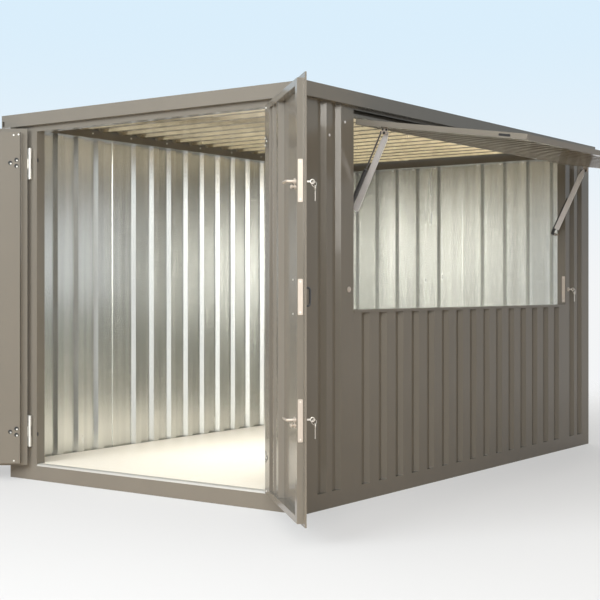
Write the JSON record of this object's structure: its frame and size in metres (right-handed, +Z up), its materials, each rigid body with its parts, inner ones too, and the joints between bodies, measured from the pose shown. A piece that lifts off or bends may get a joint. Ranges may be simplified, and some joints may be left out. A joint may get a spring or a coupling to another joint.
{
  "type": "flat pack kiosk",
  "caption": "Flat pack steel kiosk with ribbed walls, a flat roof with a gutter edge, open double doors in front and a long serving hatch with a strut-held flap on one side.",
  "frame": {"origin": "on the ground under the middle of the base rails", "axes": "+Z up, +Y from the doors to the rear wall, +X to the hatch side"},
  "size_m": [3.656, 4.2272, 2.15],
  "materials": {
    "grey_paint": "satin",
    "zinc": "galvanised",
    "floor": "matt",
    "bright_steel": "satin",
    "black_paint": "satin"
  },
  "bodies": {
    "shell": {"base_front_rail": "grey_paint", "base_rear_rail": "grey_paint", "base_left_rail": "grey_paint", "base_right_rail": "grey_paint", "front_posts": "grey_paint", "rear_posts": "grey_paint", "door_head": "grey_paint", "left_wall_front_panel": "grey_paint", "left_wall_middle_panel": "grey_paint", "left_wall_rear_panel": "grey_paint", "rear_wall_left_panel": "grey_paint", "rear_wall_right_panel": "grey_paint", "right_wall_front_panel": "grey_paint", "right_wall_rear_panel": "grey_paint", "counter_panel": "grey_paint", "hatch_jambs": "grey_paint", "hatch_lintel": "grey_paint", "hatch_sill": "grey_paint", "front_fascia": "grey_paint", "rear_fascia": "grey_paint", "left_fascia": "grey_paint", "right_fascia": "grey_paint", "floor_bearers": "zinc", "wall_joint_straps": "zinc", "roof_sheet": "zinc", "door_post_hinges": "zinc", "hatch_hinges": "zinc", "threshold": "zinc", "floor_board": "floor", "hatch_locks": "bright_steel", "strut_pins": "bright_steel"},
    "left_door": {"left_leaf_frame": "grey_paint", "left_leaf_skin": "grey_paint", "left_leaf_hinges": "zinc"},
    "right_door": {"right_leaf_frame": "grey_paint", "right_leaf_skin": "grey_paint", "right_leaf_hinges": "zinc", "right_leaf_locks": "bright_steel", "right_leaf_handle": "black_paint"},
    "hatch": {"flap_frame": "grey_paint", "flap_skin": "grey_paint", "flap_hinges": "zinc", "flap_brackets": "bright_steel"},
    "front_strut": {"front_strut_tube": "black_paint"},
    "front_rod": {"front_strut_rod": "bright_steel"},
    "rear_strut": {"rear_strut_tube": "black_paint"},
    "rear_rod": {"rear_strut_rod": "bright_steel"}
  },
  "joints": [
    {"name": "left_door_hinge", "type": "hinge", "parent": "shell", "child": "left_door", "pos_m": [-0.89, -1.785, 0.1], "axis": [0, 0, -1], "range_deg": [-143, 37]},
    {"name": "right_door_hinge", "type": "hinge", "parent": "shell", "child": "right_door", "pos_m": [0.89, -1.785, 0.1], "axis": [0, 0, 1], "range_deg": [-137, 43]},
    {"name": "hatch_hinge", "type": "hinge", "parent": "shell", "child": "hatch", "pos_m": [1.08, 0.025, 2.018], "axis": [0, -1, 0], "range_deg": [-81.4, 0]},
    {"name": "front_strut_hinge", "type": "hinge", "parent": "shell", "child": "front_strut", "pos_m": [1.021, -1.265, 1.5], "axis": [0, 1, 0], "range_deg": [-28, 0]},
    {"name": "front_strut_slide", "type": "slide", "parent": "front_strut", "child": "front_rod", "axis": [0.4489, 0, 0.8936], "range_m": [-0.183, 0]},
    {"name": "rear_strut_hinge", "type": "hinge", "parent": "shell", "child": "rear_strut", "pos_m": [1.021, 1.315, 1.5], "axis": [0, 1, 0], "range_deg": [-28, 0]},
    {"name": "rear_strut_slide", "type": "slide", "parent": "rear_strut", "child": "rear_rod", "axis": [0.4489, 0, 0.8936], "range_m": [-0.183, 0]}
  ],
  "couplings": [
    {"joint": "front_strut_hinge", "follows": "hatch_hinge", "ratio": 0.33251},
    {"joint": "front_strut_slide", "follows": "hatch_hinge", "m_per_rad": 0.12811},
    {"joint": "rear_strut_hinge", "follows": "hatch_hinge", "ratio": 0.33251},
    {"joint": "rear_strut_slide", "follows": "hatch_hinge", "m_per_rad": 0.12811}
  ]
}
